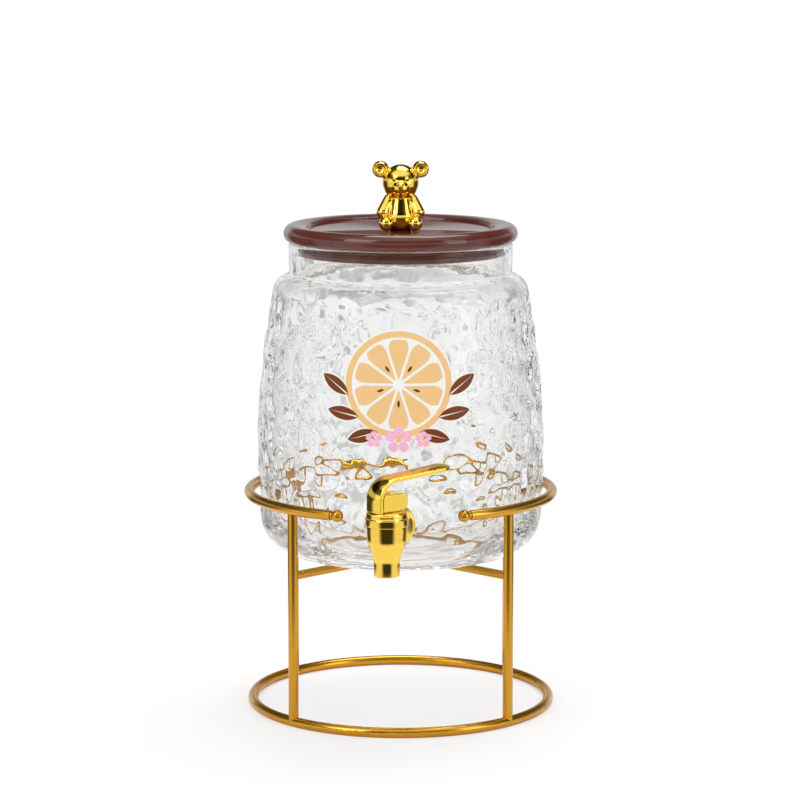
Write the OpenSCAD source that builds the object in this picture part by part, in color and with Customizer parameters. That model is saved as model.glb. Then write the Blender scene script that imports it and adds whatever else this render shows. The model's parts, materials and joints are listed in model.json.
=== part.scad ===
// Glass drink dispenser: a hammered glass jar with a lever tap and a turned
// lid, standing in a welded wire stand.
// Millimetres. The origin is on the table under the jar's axis, +Z is up and
// the tap looks towards -Y.

/* [Stand] */
// Diameter of the rod that the rings are bent from
rod_d = 6; // [4:0.1:9]
// Diameter of the upright legs
leg_d = 5.8; // [4:0.1:8]
// Diameter of the crossed bars that carry the jar
bar_d = 5; // [3:0.1:8]
// Height of the upper ring's centreline above the table
top_ring_h = 128; // [110:1:140]
// Height of the crossed bars' centreline above the table
bar_h = 89; // [60:0.5:100]
// Room between the jar's widest girth and the upper ring
ring_room = 1.6; // [1.3:0.1:6]
// How much smaller the base ring's radius is than the upper ring's
ring_step = 1.3; // [0:0.1:1.6]
// Half of the upper ring's gap at the front, to the balls' centres, in degrees
gap_angle = 23.7; // [20:0.1:30]
// Front legs' angle from straight ahead, in degrees
front_leg_angle = 44.6; // [38:0.1:55]
// Rear legs' angle from straight behind, in degrees
rear_leg_angle = 48; // [38:0.1:55]
// Diameter of the ball on each end of the upper ring
ball_d = 7; // [5:0.1:10]
// Depth of the flat ground under the base ring
ground_flat = 0.25; // [0.1:0.05:0.6]

/* [Jar] */
// Height of the glass from its base to its rim
jar_h = 184.5; // [170:0.5:230]
// Outer radius at the widest girth
belly_r = 85; // [78:0.5:95]
// Height of the widest girth above the jar's base
belly_rise = 60.5; // [45:0.5:75]
// Radius of the barrel's long side curve
barrel_r = 480; // [400:5:800]
// Height of the shoulder's top above the jar's base
shoulder_h = 165.5; // [150:0.5:168]
// Radius of the rounded shoulder
shoulder_r = 11; // [8:0.5:16]
// Outer radius of the neck
neck_r = 65.6; // [55:0.2:68]
// Fillet where the neck meets the shoulder
neck_fillet = 2.5; // [1:0.1:5]
// Radius of the rounded heel
heel_r = 24; // [14:0.5:28]
// Thickness of the side wall
wall = 3.8; // [3:0.1:6]
// Thickness of the neck's wall
neck_wall = 3.4; // [2.4:0.1:5]
// Thickness of the base
base_t = 8.5; // [5:0.5:14]
// Turn of the jar in its stand, in degrees
jar_turn = -3.8; // [-10:0.1:10]

/* [Decal] */
// Radius of the fruit slice
slice_r = 31; // [22:0.5:32]
// Length of the laurel's leaves
leaf_l = 20; // [12:0.5:21]
// Width of the laurel's leaves
leaf_w = 9.5; // [6:0.5:12]
// Radius of the middle blossom
blossom_r = 8.5; // [5:0.5:9]
// Height of the decal's middle above the jar's base
decal_rise = 107.5; // [90:0.5:115]
// Turn of the decal from straight ahead, in degrees
decal_turn = -0.8; // [-8:0.1:8]
// Thickness of the printed film
decal_t = 0.2; // [0.15:0.05:0.6]

/* [Lid] */
// How far the brim stands out past the neck
brim_over = 3; // [2.6:0.1:8]
// Thickness of the brim
brim_t = 10; // [8:0.1:16]
// Width of the raised rim round the dish
rim_w = 13.5; // [9:0.5:20]
// How far the rim's crest lies in from the brim's edge
crest_in = 5; // [3:0.1:7]
// Depth of the dish below the rim's crest
dish_depth = 3.1; // [2.4:0.1:6]
// Depth of the plug inside the neck
plug_h = 7.2; // [6:0.1:12]

/* [Finial] */
// Radius of the bear's head
head_r = 10.6; // [8:0.1:12]
// Radius of the bear's ears
ear_r = 5; // [3.5:0.1:6]
// Radius of the bear's seat
seat_r = 9.4; // [8:0.1:11]
// Thickness of the fixing screw
screw_d = 4; // [3:0.1:5]

/* [Tap] */
// Distance from the jar's axis to the tap's axis, past the jar's girth
tap_reach = 31; // [28:0.5:45]
// Height of the tap's shank above the jar's base
shank_h = 32.4; // [28:0.5:50]
// Diameter of the threaded shank
shank_d = 15; // [13:0.1:17]
// Diameter of the water way through the shank
bore_d = 8; // [5:0.1:10]
// Diameter of the flange against the jar
flange_d = 28; // [24:0.5:30]
// Diameter of the body under the bonnet
body_d = 23.2; // [22:0.1:28]
// Diameter of the spout's end
spout_d = 14.7; // [13:0.1:18]
// Diameter of the outlet
outlet_d = 10.4; // [6:0.1:11]
// Depth of the spout's end below the shank
spout_drop = 23.5; // [20:0.5:34]
// Diameter of the bonnet
bonnet_d = 24.2; // [23.8:0.1:30]
// Height of the bonnet
bonnet_h = 8.1; // [7:0.1:12]
// Diameter of the valve stem
stem_d = 6.4; // [5:0.1:7]

/* [Lever] */
// Turn of the lever in the tap, in degrees
lever_turn = 41; // [-60:0.5:42]
// Reach of the paddle from the stem's axis
lever_reach = 42.5; // [34:0.5:44]
// Width of the strap
strap_w = 13.2; // [12.8:0.1:15]
// Width of the paddle near its tip
paddle_w = 15.2; // [13.2:0.1:16]
// Thickness of the strap along its middle
strap_t = 3.4; // [2.6:0.1:4]
// Rise of the strap's domed outer face above its edges
strap_dome = 1.5; // [0.5:0.1:2]
// Outer radius of the strap's bend
bend_r = 14; // [13:0.5:19]
// Height of the bend's centre above the stem's cross bar
bend_z = 1.8; // [1:0.1:5]
// Climb of the paddle from the bend to its tip, in degrees
paddle_rise = 4.4; // [0:0.1:8]
// Height of the stem's cross bar above the cam's sole
cam_h = 4.5; // [4:0.1:6]
// Valve lift for each radian of lever travel
cam_offset = 5.5; // [4:0.1:6]
// Full travel of the lever, in degrees
lever_travel = 25; // [15:1:30]

/* [Clearances] */
// Gap of welded or seated pieces
seat_gap = 0.05; // [0.02:0.01:0.2]
// Gap between the jar and what it stands on, and the lid and the rim
rest_gap = 0.1; // [0.05:0.05:0.4]
// Radial clearance of turning and sliding fits
run_gap = 0.05; // [0.02:0.01:0.1]
// Side clearance of the lever's fork on the stem
fork_gap = 0.15; // [0.1:0.05:0.3]
// Clearance of the shank in the glass
hole_gap = 0.5; // [0.2:0.1:1]

/* [Hidden] */
$fn = 96;

satin_gold = "#c9922e";
plated_gold = "#e0aa3c";
clear_glass = [0.85, 0.92, 0.93, 0.35];
lacquer = "#6b3a2e";
silicone = "#e6e6e0";
seal_brown = "#4a2a20";
steel = "#b8bcc0";

// Stand
rod_r = rod_d / 2;
top_ring_r = belly_r + ring_room + rod_r;
ring_r = top_ring_r - ring_step;
leg_top_z = top_ring_h - rod_r / 2;
base_ring_z = rod_r - ground_flat;
ball_neck_d = 0.62 * ball_d;
ball_neck_l = 0.8;
ball_r = ball_d / 2;
ball_sink = 0.3;
// Angle taken up by a length along the upper ring
function ring_angle(length) = length / top_ring_r * 180 / PI;
ball_out = ball_r - ball_sink + ball_neck_l;
rod_end_angle = gap_angle + ring_angle(ball_out);
function ring_point(angle) = [ring_r * sin(angle), -ring_r * cos(angle)];
front_left = ring_point(-front_leg_angle);
front_right = ring_point(front_leg_angle);
rear_left = ring_point(180 + rear_leg_angle);
rear_right = ring_point(180 - rear_leg_angle);
// The point where the two bars cross
cross_share = front_left.x / (front_left.x - rear_right.x);
crossing = front_left + cross_share * (rear_right - front_left);

// Jar
jar_z = bar_h + bar_d / 2 + rest_gap;
rim_z = jar_z + jar_h;
belly_z = jar_z + belly_rise;
barrel_c = belly_r - barrel_r;
heel_z = jar_z + heel_r;
shoulder_z = jar_z + shoulder_h - shoulder_r;
shoulder_c = barrel_c + sqrt(pow(barrel_r - shoulder_r, 2) - pow(shoulder_z - belly_z, 2));

// Decal, measured from its middle
slice_lift = blossom_r / 2;
leaf_start = -68;
leaf_step = 27;
leaf_splay = 38;
side_blossom_r = 0.64 * blossom_r;

// Tap, measured from its own vertical axis
tap_axis_r = belly_r + tap_reach;
shank_z = jar_z + shank_h;
shank_r = shank_d / 2;
flange_r = flange_d / 2;
boss_r = flange_r + 1.5;
boss_proud = 0.15;
boss_top_z = min(shank_z + boss_r, belly_z);
boss_face_r = side_radius(boss_top_z, 0) + boss_proud;
boss_h = boss_face_r - side_radius(shank_z, wall);
washer_t = 2;
inner_washer_t = 3.2;
inner_flat_r = side_radius(shank_z, wall) - inner_washer_t;
washer_r = flange_r - 1.5;
inner_washer_r = washer_r - 0.8;
flange_t = 3.4;
flange_edge_r = 1.2;
root_r = shank_r + 0.6;
root_h = 3;
spot_room = 0.4;
flange_back_y = tap_axis_r - boss_face_r - washer_t;
nut_t = 7;
nut_r = shank_r + 4;
thread_past_nut = 3;
shank_end_y = tap_axis_r - inner_flat_r + nut_t + thread_past_nut;
seat_step = 1.5;
seat_z = shank_z - bore_d / 2 - seat_step;
spout_z = shank_z - spout_drop;
spout_straight = 7;
spout_edge = 0.4;
body_r = body_d / 2;
bore_roof = 1.2;
body_top_z = shank_z + bore_d / 2 + bore_roof;
body_waist_z = shank_z - 2;
body_taper = 0.5;
chamber_r = body_r - 3.6;
collar_neck_r = body_r - 1.8;
collar_neck_h = 4.6;
bonnet_r = bonnet_d / 2;
bonnet_top_z = body_top_z + bonnet_h;
neck_top_gap = 0.2;
bonnet_under_z = body_top_z + collar_neck_h + neck_top_gap;
bonnet_skirt = 0.52 * bonnet_h;
bonnet_cone = 0.6;
bonnet_edge_r = 0.9;
stem_r = stem_d / 2;
seal_r = 0.7;
seal_z = (bonnet_under_z + bonnet_top_z) / 2;
seal_ring_r = stem_r + run_gap + seal_r;

// Valve
cup_r = outlet_d / 2 + 1.6;
cup_h = 5;
cup_floor = 1.5;
button_r = stem_r + 1.2;
button_h = 2;
cup_top_z = seat_z + seat_gap + cup_h;
button_z = seat_z + seat_gap + cup_floor + run_gap;
stem_neck_r = stem_r - 0.3;
wire_r = 0.4;
spring_r = stem_r + 1.2;
spring_turns = 5;
spring_sides = 6;
spring_rings = 8;
spring_z0 = cup_top_z + wire_r + seat_gap;
spring_z1 = bonnet_under_z - wire_r - seat_gap;

// Lever, measured from the stem's cross bar, x along the paddle
pivot_z = bonnet_top_z + rest_gap + cam_h;
slot_w = stem_d + 2 * fork_gap;
bar_pin_r = 1.95;
bar_pin_half = slot_w / 2 + 1.5;
socket_half = bar_pin_half + 0.1;
block_w = strap_w - 1.2;
block_top = 5.4;
slot_over = 0.8;
block_round = 1.5;
heel_round = 4;
strap_back = bonnet_r - 1.6;
slot_back = stem_r + 2;
bend_x = bend_r - strap_back;
// Radius of the dome across the strap
dome_r = (pow(paddle_w / 2, 2) + pow(strap_dome, 2)) / (2 * strap_dome);
// How far the dome's top lies under the flat it is cut from
dome_sink = 0.15;

// Lid
plug_room = 0.8;
neck_in_r = neck_r - neck_wall;
plug_r = neck_in_r - plug_room;
brim_r = neck_r + brim_over;
brim_z = rim_z + rest_gap;
crown_z = brim_z + brim_t;
dish_r = brim_r - rim_w;
dish_z = crown_z - dish_depth;
dish_corner = 0.9;
dish_slope = 0.4;
rim_drop = 0.35 * dish_depth;
nose_rise = 0.46 * brim_t;
nose_in = brim_over + 0.4 * neck_wall;
plug_z = brim_z - plug_h;
plug_edge = 0.8;
groove_h = 2.8;
groove_depth = 1.4;
groove_z = brim_z - groove_depth - groove_h;
seal_proud = plug_room - 0.1;
screw_r = screw_d / 2;
screw_room = 0.2;
screw_head_r = screw_r * 1.9;
screw_head_h = screw_r * 1.3;
pin_washer_r = screw_r * 2.7;
pin_washer_t = 1;
sink_r = pin_washer_r + 0.6;
sink_h = screw_head_h + pin_washer_t + 0.4;
sink_top_z = plug_z + sink_h;
screw_reach = 12;

// Points on an arc
function arc(cx, cy, r, a0, a1, n) =
    [for (i = [0:n]) let (a = a0 + (a1 - a0) * i / n) [cx + r * cos(a), cy + r * sin(a)]];
function reversed(points) = [for (i = [len(points) - 1:-1:0]) points[i]];
function smooth(t) = t * t * (3 - 2 * t);

// Radius of the barrel's side at a height, inset from the outer face
function side_radius(z, inset) = barrel_c + sqrt(pow(barrel_r - inset, 2) - pow(z - belly_z, 2));

// Half outline of the jar, from its floor's edge to the neck, inset from the
// outer face. Heel, barrel, shoulder and fillet are tangent arcs.
function jar_side(inset, floor_z, neck) =
    let (
        heel = heel_r - inset,
        hz = floor_z + heel,
        hx = barrel_c + sqrt(pow(barrel_r - inset - heel, 2) - pow(hz - belly_z, 2)),
        heel_end = atan2(hz - belly_z, hx - barrel_c),
        barrel_end = atan2(shoulder_z - belly_z, shoulder_c - barrel_c),
        round = shoulder_r - inset,
        fillet = neck_fillet + neck_r - neck,
        dx = max(0, neck + fillet - shoulder_c),
        fz = shoulder_z + sqrt(pow(round + fillet, 2) - dx * dx),
        round_end = atan2(fz - shoulder_z, dx)
    )
    concat(
        arc(hx, hz, heel, -90, heel_end, 10),
        arc(barrel_c, belly_z, barrel_r - inset, heel_end, barrel_end, 18),
        arc(shoulder_c, shoulder_z, round, barrel_end, round_end, 8),
        arc(neck + fillet, fz, fillet, round_end + 180, 180, 6)
    );

module jar_outside() {
    rim_r = neck_wall / 2;
    rotate_extrude()
        polygon(concat(
            [[0, jar_z]],
            jar_side(0, jar_z, neck_r),
            arc(neck_r - rim_r, rim_z - rim_r, rim_r, 0, 180, 8),
            [[0, rim_z - rim_r]]
        ));
}

module jar_inside(extra = 0) {
    inset = wall + extra;
    neck = neck_in_r - extra;
    rotate_extrude()
        polygon(concat(
            [[0, jar_z + base_t + extra]],
            jar_side(inset, jar_z + base_t + extra, neck),
            [[neck, rim_z + neck_wall], [0, rim_z + neck_wall]]
        ));
}

// Frame of the tap: its own axis is Z and the jar lies towards +Y
module place_tap() {
    rotate([0, 0, jar_turn])
        translate([0, -tap_axis_r, 0])
            children();
}

// Frame of the shank: Z runs from the tap's axis into the jar
module place_shank(y = 0) {
    place_tap()
        translate([0, y, shank_z])
            rotate([-90, 0, 0])
                children();
}

// Frame of the lever: the cross bar is the origin and the paddle lies along +X
module place_lever() {
    place_tap()
        translate([0, 0, pivot_z])
            rotate([0, 0, lever_turn])
                children();
}

// Stand pieces

module ring_solid(radius, z, r) {
    translate([0, 0, z])
        rotate_extrude()
            translate([radius, 0])
                circle(r);
}

module base_ring() {
    color(satin_gold)
        difference() {
            ring_solid(ring_r, base_ring_z, rod_r);
            translate([0, 0, -rod_d])
                cylinder(r = ring_r + rod_d, h = rod_d);
        }
}

module top_ring() {
    color(satin_gold)
        translate([0, 0, top_ring_h])
            rotate([0, 0, -90 + rod_end_angle])
                rotate_extrude(angle = 360 - 2 * rod_end_angle)
                    translate([top_ring_r, 0])
                        circle(rod_r);
}

// A ball on a short neck, square to the rod's end
module ball_end(side) {
    color(satin_gold)
        rotate([0, 0, side * rod_end_angle])
            translate([-side * ball_out, -top_ring_r, top_ring_h])
                rotate([0, side * 90, 0]) {
                    sphere(ball_r);
                    cylinder(d = ball_neck_d, h = ball_out - seat_gap);
                }
}

module left_ball_end() { ball_end(-1); }
module right_ball_end() { ball_end(1); }

module leg_rod(place, d) {
    translate([place.x, place.y, base_ring_z])
        cylinder(d = d, h = leg_top_z - base_ring_z);
}

// An upright whose ends are hollowed to sit on the rings
module leg(place) {
    color(satin_gold)
        difference() {
            leg_rod(place, leg_d);
            ring_solid(ring_r, base_ring_z, rod_r + seat_gap);
            ring_solid(top_ring_r, top_ring_h, rod_r + seat_gap);
        }
}

module front_left_leg() { leg(front_left); }
module front_right_leg() { leg(front_right); }
module rear_left_leg() { leg(rear_left); }
module rear_right_leg() { leg(rear_right); }

module bar_rod(from, to, d) {
    span = to - from;
    translate([from.x, from.y, bar_h])
        rotate([0, 90, atan2(span.y, span.x)])
            cylinder(d = d, h = norm(span));
}

module cross_bar() {
    color(satin_gold)
        difference() {
            bar_rod(front_left, rear_right, bar_d);
            leg_rod(front_left, leg_d + 2 * seat_gap);
            leg_rod(rear_right, leg_d + 2 * seat_gap);
        }
}

module half_bar(place) {
    color(satin_gold)
        difference() {
            bar_rod(place, crossing, bar_d);
            leg_rod(place, leg_d + 2 * seat_gap);
            bar_rod(front_left, rear_right, bar_d + 2 * seat_gap);
        }
}

module front_half_bar() { half_bar(front_right); }
module rear_half_bar() { half_bar(rear_left); }

// Jar and what is printed on it

module glass_jar() {
    color(clear_glass)
        difference() {
            union() {
                jar_outside();
                place_shank(tap_axis_r - boss_face_r)
                    cylinder(r = boss_r, h = boss_h);
            }
            jar_inside();
            place_shank()
                cylinder(r = shank_r + hole_gap, h = shank_end_y);
        }
}

module leaf(length, width) {
    bow = (length * length / 4 + width * width / 4) / width;
    intersection() {
        translate([length / 2, bow - width / 2])
            circle(bow);
        translate([length / 2, width / 2 - bow])
            circle(bow);
    }
}

module blossom(r) {
    circle(0.5 * r);
    for (i = [0:4])
        rotate(90 + 72 * i)
            translate([0.55 * r, 0])
                circle(0.45 * r);
}

// A round fruit slice in a laurel of six leaves, with three blossoms at its foot
module decal_outline() {
    translate([0, slice_lift]) {
        circle(slice_r);
        translate([0, -slice_r])
            blossom(blossom_r);
        for (side = [0, 1])
            mirror([side, 0]) {
                for (i = [0:2])
                    rotate(leaf_start + i * leaf_step)
                        translate([slice_r - leaf_w / 4, 0])
                            rotate(90 - leaf_splay)
                                leaf(leaf_l, leaf_w);
                translate([blossom_r + side_blossom_r, -slice_r])
                    blossom(side_blossom_r);
            }
    }
}

module front_decal() {
    inner = barrel_r + seat_gap;
    reach = (slice_r + 2 * blossom_r) / barrel_r * 180 / PI;
    middle = asin((decal_rise - belly_rise) / barrel_r);
    color("#f2c98c")
        rotate([0, 0, decal_turn])
            intersection() {
                rotate_extrude()
                    polygon(concat(
                        arc(barrel_c, belly_z, inner, middle - reach, middle + reach, 10),
                        reversed(arc(barrel_c, belly_z, inner + decal_t, middle - reach, middle + reach, 10))
                    ));
                translate([0, 0, jar_z + decal_rise])
                    rotate([90, 0, 0])
                        linear_extrude(height = 2 * belly_r)
                            decal_outline();
            }
}

// Tap

module tap_profile() {
    straight_z = spout_z + spout_straight;
    flare = [for (i = [0:14]) let (t = i / 14)
        [spout_d / 2 + (body_r - body_taper - spout_d / 2) * smooth(t),
            straight_z + (body_waist_z - straight_z) * t]];
    polygon(concat(
        [[0, spout_z], [spout_d / 2 - spout_edge, spout_z], [spout_d / 2, spout_z + spout_edge]],
        flare,
        [[body_r, body_top_z], [collar_neck_r, body_top_z],
            [collar_neck_r, body_top_z + collar_neck_h], [0, body_top_z + collar_neck_h]]
    ));
}

// The flange is dished towards the tap and flat towards the jar
module flange_profile() {
    face = flange_edge_r / 2;
    polygon(concat(
        [[0, -flange_t - root_h], [root_r, -flange_t - root_h]],
        [[root_r + face, -flange_t - face], [flange_r - flange_edge_r - 1, -flange_t + face]],
        arc(flange_r - flange_edge_r, -flange_edge_r, flange_edge_r, -60, 0, 4),
        [[flange_r, 0], [0, 0]]
    ));
}

// The shank's root, spot-faced where the bonnet hangs over it
module shank_root() {
    difference() {
        place_shank()
            cylinder(r = root_r, h = flange_back_y - flange_t);
        place_tap()
            translate([0, 0, body_top_z])
                cylinder(r = bonnet_r + spot_room, h = bonnet_h);
    }
}

module tap_body() {
    color(plated_gold)
        difference() {
            union() {
                place_tap()
                    rotate_extrude()
                        tap_profile();
                shank_root();
                place_shank(flange_back_y)
                    rotate_extrude()
                        flange_profile();
                place_shank(flange_back_y)
                    cylinder(r = shank_r, h = shank_end_y - flange_back_y);
            }
            place_tap() {
                translate([0, 0, seat_z])
                    cylinder(r = chamber_r, h = bonnet_h + spout_drop);
                translate([0, 0, spout_z - 1])
                    cylinder(d = outlet_d, h = spout_drop);
            }
            place_shank()
                cylinder(d = bore_d, h = shank_end_y + 1);
        }
}

module washer_ring(r, h) {
    difference() {
        cylinder(r = r, h = h);
        translate([0, 0, -1])
            cylinder(r = shank_r + hole_gap / 2, h = h + 2);
    }
}

module outer_washer() {
    color(silicone)
        place_shank(flange_back_y + seat_gap)
            washer_ring(washer_r, washer_t - 2 * seat_gap);
}

// Pressed to the curve of the glass on one face, flat for the nut on the other
module inner_washer() {
    color(silicone)
        intersection() {
            place_shank(tap_axis_r - inner_flat_r - 2 * inner_washer_t)
                washer_ring(inner_washer_r, 2 * inner_washer_t - seat_gap);
            jar_inside(seat_gap, $fn = 4 * $fn);
        }
}

module shank_nut() {
    color(plated_gold)
        place_shank(tap_axis_r - inner_flat_r)
            difference() {
                cylinder(r = nut_r, h = nut_t, $fn = 6);
                translate([0, 0, -1])
                    cylinder(r = shank_r + run_gap, h = nut_t + 2);
            }
}

// A straight skirt under a slightly coned top
module bonnet_profile() {
    skirt_z = body_top_z + bonnet_skirt;
    step = bonnet_cone / 2;
    polygon(concat(
        [[collar_neck_r + run_gap, body_top_z + seat_gap], [bonnet_r, body_top_z + seat_gap]],
        [[bonnet_r, skirt_z], [bonnet_r - step, skirt_z + step]],
        arc(bonnet_r - bonnet_cone - bonnet_edge_r, bonnet_top_z - bonnet_edge_r, bonnet_edge_r, 10, 90, 5),
        [[stem_r + run_gap, bonnet_top_z], [stem_r + run_gap, seal_z + seal_r + seat_gap]],
        [[seal_ring_r + seal_r + seat_gap, seal_z + seal_r + seat_gap]],
        [[seal_ring_r + seal_r + seat_gap, seal_z - seal_r - seat_gap]],
        [[stem_r + run_gap, seal_z - seal_r - seat_gap], [stem_r + run_gap, bonnet_under_z]],
        [[collar_neck_r + run_gap, bonnet_under_z]]
    ));
}

module bonnet() {
    color(plated_gold)
        place_tap()
            rotate_extrude()
                bonnet_profile();
}

module stem_seal() {
    color("#2b2b2b")
        place_tap()
            translate([0, 0, seal_z])
                rotate_extrude()
                    translate([seal_ring_r, 0])
                        circle(seal_r);
}

// One tube wound along a helix, from its rings of points
module return_spring() {
    count = spring_turns * spring_rings;
    lead = atan((spring_z1 - spring_z0) / (spring_turns * 2 * PI * spring_r));
    points = [
        for (i = [0:count], j = [0:spring_sides - 1])
            let (
                turn = 360 * i / spring_rings,
                around = 360 * j / spring_sides,
                out = spring_r + wire_r * cos(around),
                side = wire_r * sin(around)
            )
            [out * cos(turn) + side * sin(lead) * sin(turn),
                out * sin(turn) - side * sin(lead) * cos(turn),
                spring_z0 + (spring_z1 - spring_z0) * i / count + side * cos(lead)]
    ];
    walls = [
        for (i = [0:count - 1], j = [0:spring_sides - 1])
            let (
                a = i * spring_sides + j,
                b = i * spring_sides + (j + 1) % spring_sides
            )
            each [[a, b + spring_sides, b], [a, a + spring_sides, b + spring_sides]]
    ];
    last = count * spring_sides;
    caps = [
        for (j = [1:spring_sides - 2])
            each [[0, j, j + 1], [last, last + j + 1, last + j]]
    ];
    color(steel)
        place_tap()
            polyhedron(points, concat(walls, caps));
}

module seat_cup() {
    color(silicone)
        place_tap()
            translate([0, 0, seat_z + seat_gap])
                difference() {
                    cylinder(r = cup_r, h = cup_h);
                    translate([0, 0, cup_floor])
                        cylinder(r = button_r + run_gap, h = button_h + 2 * run_gap);
                    translate([0, 0, cup_floor + button_h])
                        cylinder(r = stem_neck_r + run_gap, h = cup_h);
                }
}

// A button held in the cup, a round shaft with a rounded head, and a cross bar
module valve_stem() {
    shaft_z = cup_top_z + seat_gap;
    color(plated_gold)
        place_tap() {
            translate([0, 0, button_z])
                cylinder(r = button_r, h = button_h);
            translate([0, 0, button_z])
                cylinder(r = stem_neck_r, h = shaft_z - button_z + 1);
            translate([0, 0, shaft_z])
                cylinder(r = stem_r, h = pivot_z - shaft_z);
            translate([0, 0, pivot_z])
                sphere(stem_r);
            translate([0, 0, pivot_z])
                rotate([90, 0, lever_turn])
                    cylinder(r = bar_pin_r, h = 2 * bar_pin_half, center = true);
        }
}

// Edge of the cam where its sole's support grows evenly with the lever's angle
function cam_point(angle) =
    let (support = cam_h + cam_offset * angle * PI / 180)
    [support * sin(angle) + cam_offset * cos(angle), -support * cos(angle) + cam_offset * sin(angle)];

module cam_profile() {
    edge = cam_point(lever_travel);
    heel_x = edge.x - heel_round * sin(lever_travel);
    heel_y = edge.y + heel_round * cos(lever_travel);
    end_x = heel_x + heel_round;
    polygon(concat(
        [[-strap_back + strap_t / 2, -cam_h]],
        [for (i = [0:10]) cam_point(lever_travel * i / 10)],
        arc(heel_x, heel_y, heel_round, lever_travel - 90, 0, 8),
        arc(end_x - block_round, block_top - block_round, block_round, 0, 90, 5),
        [[-strap_back + strap_t / 2, block_top]]
    ));
}

// Side view of the strap: upright, bend and paddle
module strap_profile() {
    bend_end = 90 + paddle_rise;
    inner_r = bend_r - strap_t;
    top_x = bend_x + bend_r * cos(bend_end);
    low_x = bend_x + inner_r * cos(bend_end);
    rise = tan(paddle_rise);
    polygon(concat(
        [[-strap_back + strap_t, -cam_h], [-strap_back, -cam_h]],
        arc(bend_x, bend_z, bend_r, 180, bend_end, 14),
        [[lever_reach, bend_z + bend_r * sin(bend_end) + (lever_reach - top_x) * rise]],
        [[lever_reach, bend_z + inner_r * sin(bend_end) + (lever_reach - low_x) * rise]],
        arc(bend_x, bend_z, inner_r, bend_end, 180, 14)
    ));
}

// Plan of the strap, widening to the paddle's round tip
module strap_plan() {
    tip_r = paddle_w / 2;
    polygon([
        [-strap_back - strap_t, -strap_w / 2], [bend_x, -strap_w / 2], [lever_reach - tip_r, -tip_r],
        [lever_reach - tip_r, tip_r], [bend_x, strap_w / 2], [-strap_back - strap_t, strap_w / 2]
    ]);
    translate([lever_reach - tip_r, 0])
        circle(tip_r);
}

// Long round bar whose top domes the paddle's outer face
module paddle_dome() {
    translate([bend_x, 0, bend_z])
        rotate([0, -paddle_rise, 0])
            translate([0, 0, bend_r - dome_sink - dome_r])
                rotate([0, 90, 0])
                    cylinder(r = dome_r, h = 4 * lever_reach, center = true);
}

// Upright, bend and paddle
module strap() {
    intersection() {
        rotate([90, 0, 0])
            linear_extrude(height = 2 * paddle_w, center = true)
                strap_profile();
        translate([0, 0, -2 * cam_h])
            linear_extrude(height = 4 * bend_r)
                strap_plan();
        paddle_dome();
    }
}

module lever() {
    color(plated_gold)
        place_lever()
            difference() {
                union() {
                    strap();
                    rotate([90, 0, 0])
                        linear_extrude(height = block_w, center = true)
                            cam_profile();
                }
                translate([-slot_back, -slot_w / 2, -2 * cam_h])
                    cube([slot_back + bonnet_d, slot_w, 2 * cam_h + block_top + slot_over]);
                rotate([90, 0, 0])
                    cylinder(r = bar_pin_r + run_gap, h = 2 * socket_half, center = true);
            }
}

// Lid

module lid_profile() {
    nose_z = brim_z + nose_rise;
    crown_r = brim_r - crest_in;
    inner_z = crown_z - rim_drop;
    crown_top = [for (i = [1:6]) let (t = i / 6)
        [crown_r + (dish_r + dish_corner - crown_r) * t, crown_z - (crown_z - inner_z) * t * t]];
    outer_top = [for (i = [1:8]) let (a = 90 * i / 8)
        [crown_r + crest_in * cos(a), nose_z + (crown_z - nose_z) * sin(a)]];
    outer_low = [for (i = [0:8]) let (a = 90 * i / 8)
        [brim_r - nose_in + nose_in * sin(a), nose_z - nose_rise * cos(a)]];
    polygon(concat(
        [[0, plug_z], [plug_r - plug_edge, plug_z], [plug_r, plug_z + plug_edge]],
        [[plug_r, groove_z], [plug_r - groove_depth, groove_z]],
        [[plug_r - groove_depth, groove_z + groove_h], [plug_r, groove_z + groove_h], [plug_r, brim_z]],
        outer_low,
        outer_top,
        crown_top,
        arc(dish_r + dish_corner, inner_z - dish_corner, dish_corner, 90, 180, 4),
        [[dish_r - dish_slope, dish_z], [0, dish_z]]
    ));
}

module lid() {
    color(lacquer)
        difference() {
            rotate_extrude()
                lid_profile();
            translate([0, 0, plug_z - 1])
                cylinder(r = sink_r, h = sink_h + 1);
            translate([0, 0, plug_z - 1])
                cylinder(r = screw_r + screw_room, h = brim_t + plug_h + 2);
        }
}

// A band in the plug's groove with two soft lips
module lid_seal() {
    lip_r = groove_h / 4;
    band_r = plug_r - groove_depth + seat_gap;
    color(seal_brown)
        rotate_extrude() {
            translate([band_r, groove_z + seat_gap])
                square([groove_depth - seat_gap, groove_h - 2 * seat_gap]);
            for (i = [1, 3])
                translate([plug_r + seal_proud - lip_r, groove_z + i * lip_r])
                    circle(lip_r - seat_gap);
        }
}

// A round-ended limb that tapers between two balls
module limb(a, b, ra, rb) {
    way = b - a;
    length = norm(way);
    lean = asin((ra - rb) / length);
    translate(a)
        rotate([0, acos(way.z / length), atan2(way.y, way.x)])
            rotate_extrude()
                polygon(concat(
                    arc(0, 0, ra, -90, lean, 14),
                    arc(0, length, rb, lean, 90, 10)
                ));
}

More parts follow.
